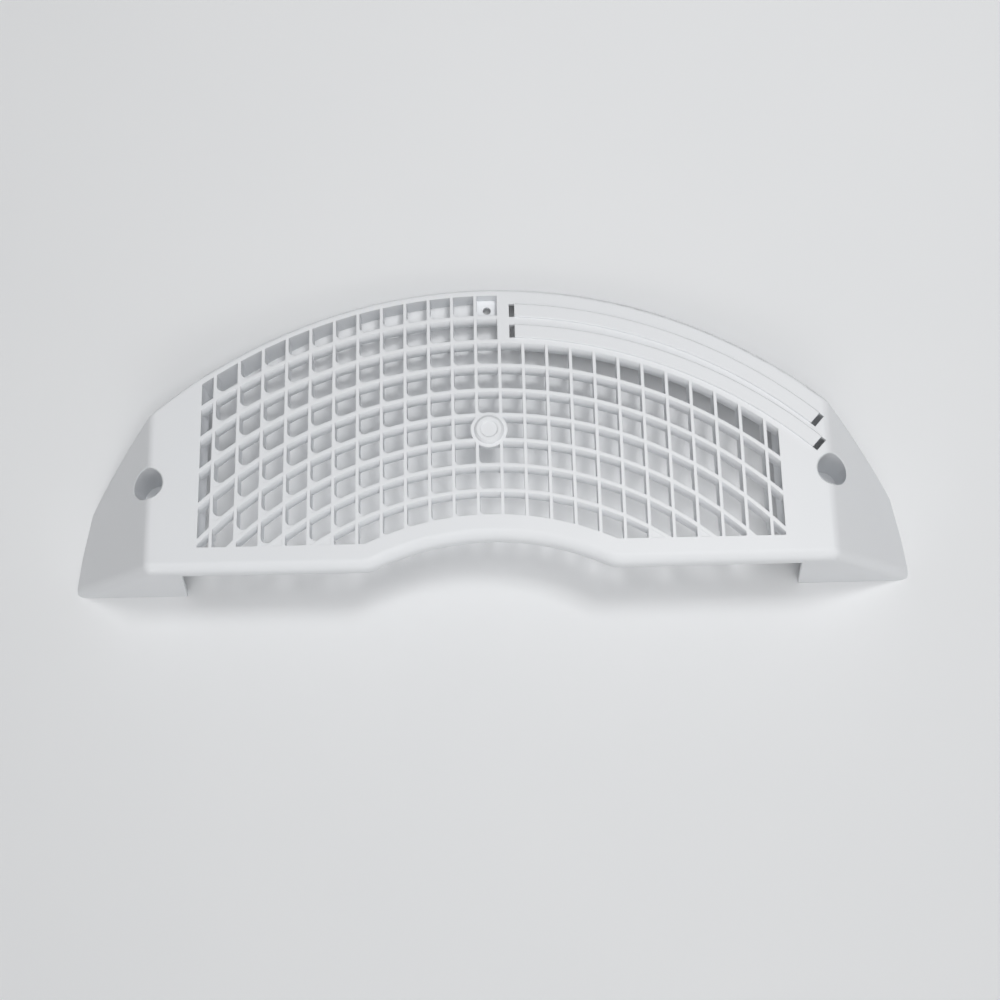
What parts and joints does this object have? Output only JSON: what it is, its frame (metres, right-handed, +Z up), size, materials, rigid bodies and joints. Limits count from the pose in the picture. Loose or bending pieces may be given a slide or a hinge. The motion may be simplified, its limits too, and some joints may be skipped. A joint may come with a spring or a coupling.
{
  "type": "dryer outlet grille",
  "caption": "Curved white plastic outlet grille: a slanted face with crossed ribs over an open duct, a notched front lip, sloped wings with screw wells and raised sensor rails.",
  "frame": {"origin": "middle of the bounding box on the base plane, so the part lies on z = 0", "axes": "+X across the part to the right wing, +Y from the notched front edge to the curved rim, +Z up from the base to the face"},
  "size_m": [0.4382, 0.157, 0.0495],
  "materials": {
    "body": "satin moulded white"
  },
  "bodies": {
    "root": {"outlet_grille": "body"}
  },
  "joints": []
}
